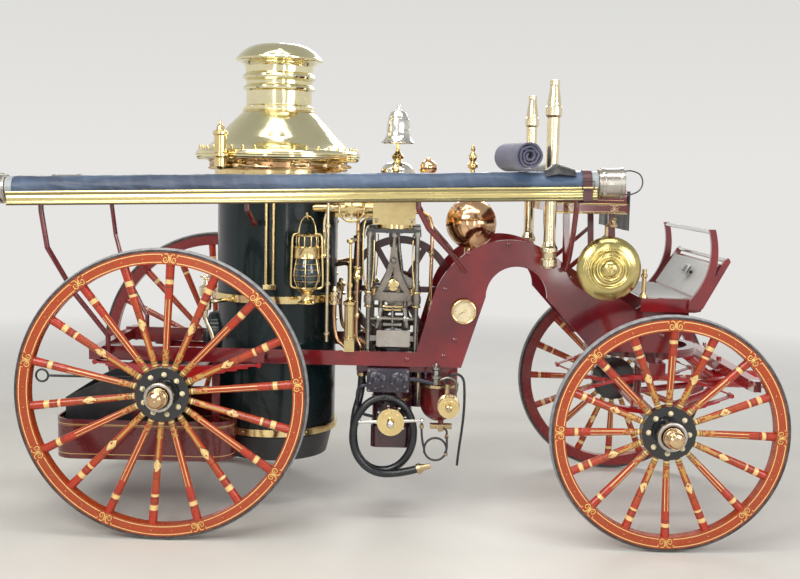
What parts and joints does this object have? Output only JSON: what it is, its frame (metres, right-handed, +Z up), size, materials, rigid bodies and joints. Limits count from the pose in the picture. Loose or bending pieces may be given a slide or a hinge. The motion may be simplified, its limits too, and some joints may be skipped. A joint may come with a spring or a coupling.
{
  "type": "horse-drawn steam fire engine",
  "caption": "Horse-drawn steam fire engine with an upright boiler, pump, crane-neck frame, driver's seat and four spoked wheels.",
  "frame": {"origin": "on the ground under the middle of the whole length and width", "axes": "+X is forward, +Y is the engine's left, +Z is up"},
  "size_m": [4.4181, 1.944, 2.6399],
  "materials": {
    "wheel_paint": "gloss vermilion paint with fine lines",
    "tyre_rubber": "grey-black solid rubber",
    "maroon_paint": "gloss maroon coach paint",
    "red_paint": "gloss red coach paint",
    "boiler_green": "dark green-black enamelled jacket",
    "black_iron": "black painted iron",
    "polished_brass": "polished brass",
    "polished_copper": "polished copper",
    "bright_steel": "bright worked steel",
    "nickel_plate": "polished nickel plate",
    "hose_rubber": "blue-black rubbered canvas",
    "seat_leather": "black leather",
    "blanket_wool": "dark blue wool",
    "gauge_glass": "clear glass in brass"
  },
  "bodies": {
    "chassis": {"crane_neck_right": "maroon_paint", "crane_neck_left": "maroon_paint", "frame_cross_members": "maroon_paint", "boiler_shell": "boiler_green", "boiler_bands": "polished_brass", "boiler_dome": "polished_brass", "smoke_stack": "polished_brass", "ash_pan": "black_iron", "steam_fittings": "polished_brass", "water_gauge": "gauge_glass", "steam_cylinders": "polished_brass", "engine_columns": "bright_steel", "crossheads": "bright_steel", "flywheel": "maroon_paint", "pump_body": "maroon_paint", "pump_caps": "polished_brass", "air_chamber": "polished_copper", "pressure_gauge": "polished_brass", "bell_stand": "polished_brass", "bell": "nickel_plate", "hose_tray_right": "polished_brass", "hose_tray_left": "polished_brass", "suction_hose_right": "hose_rubber", "suction_hose_left": "hose_rubber", "hose_couplings": "polished_brass", "tray_irons": "maroon_paint", "driver_seat": "maroon_paint", "seat_cushion": "seat_leather", "seat_back": "seat_leather", "footboard": "maroon_paint", "dash_rails": "maroon_paint", "gong": "polished_brass", "playpipes": "polished_brass", "lanterns": "polished_brass", "hand_syringe": "polished_brass", "blanket_roll": "blanket_wool", "fuel_platform": "maroon_paint", "coal_bunker": "black_iron", "poker": "black_iron", "rear_axle": "red_paint", "rear_springs": "red_paint", "priming_hose": "hose_rubber", "priming_nozzle": "black_iron", "jet_hose": "hose_rubber"},
    "fire_door": {"fire_door": "black_iron"},
    "rear_wheel_right": {"rear_wheel_right": "wheel_paint", "rear_tyre_right": "tyre_rubber"},
    "rear_wheel_left": {"rear_wheel_left": "wheel_paint", "rear_tyre_left": "tyre_rubber"},
    "front_truck": {"front_axle": "red_paint", "front_springs": "red_paint", "turntable": "maroon_paint", "hounds": "red_paint"},
    "front_wheel_right": {"front_wheel_right": "wheel_paint", "front_tyre_right": "tyre_rubber"},
    "front_wheel_left": {"front_wheel_left": "wheel_paint", "front_tyre_left": "tyre_rubber"},
    "doubletree": {"doubletree": "red_paint"}
  },
  "joints": [
    {"name": "rear_wheel_right_spin", "type": "hinge", "parent": "chassis", "child": "rear_wheel_right", "pos_m": [-1.16, -0.81, 0.762], "axis": [0, 1, 0], "continuous": true},
    {"name": "rear_wheel_left_spin", "type": "hinge", "parent": "chassis", "child": "rear_wheel_left", "pos_m": [-1.16, 0.81, 0.762], "axis": [0, 1, 0], "continuous": true},
    {"name": "front_truck_steer", "type": "hinge", "parent": "chassis", "child": "front_truck", "pos_m": [1.46, 0, 0.95], "axis": [0, 0, 1], "range_deg": [-60, 60]},
    {"name": "front_wheel_right_spin", "type": "hinge", "parent": "front_truck", "child": "front_wheel_right", "pos_m": [1.46, -0.81, 0.62], "axis": [0, 1, 0], "continuous": true},
    {"name": "front_wheel_left_spin", "type": "hinge", "parent": "front_truck", "child": "front_wheel_left", "pos_m": [1.46, 0.81, 0.62], "axis": [0, 1, 0], "continuous": true},
    {"name": "doubletree_swing", "type": "hinge", "parent": "front_truck", "child": "doubletree", "pos_m": [1.93, 0, 0.857], "axis": [0, 0, 1], "range_deg": [-12, 12]},
    {"name": "fire_door_swing", "type": "hinge", "parent": "chassis", "child": "fire_door", "pos_m": [-1.057, 0.158, 0.965], "axis": [0, 0, -1], "range_deg": [0, 110]}
  ]
}
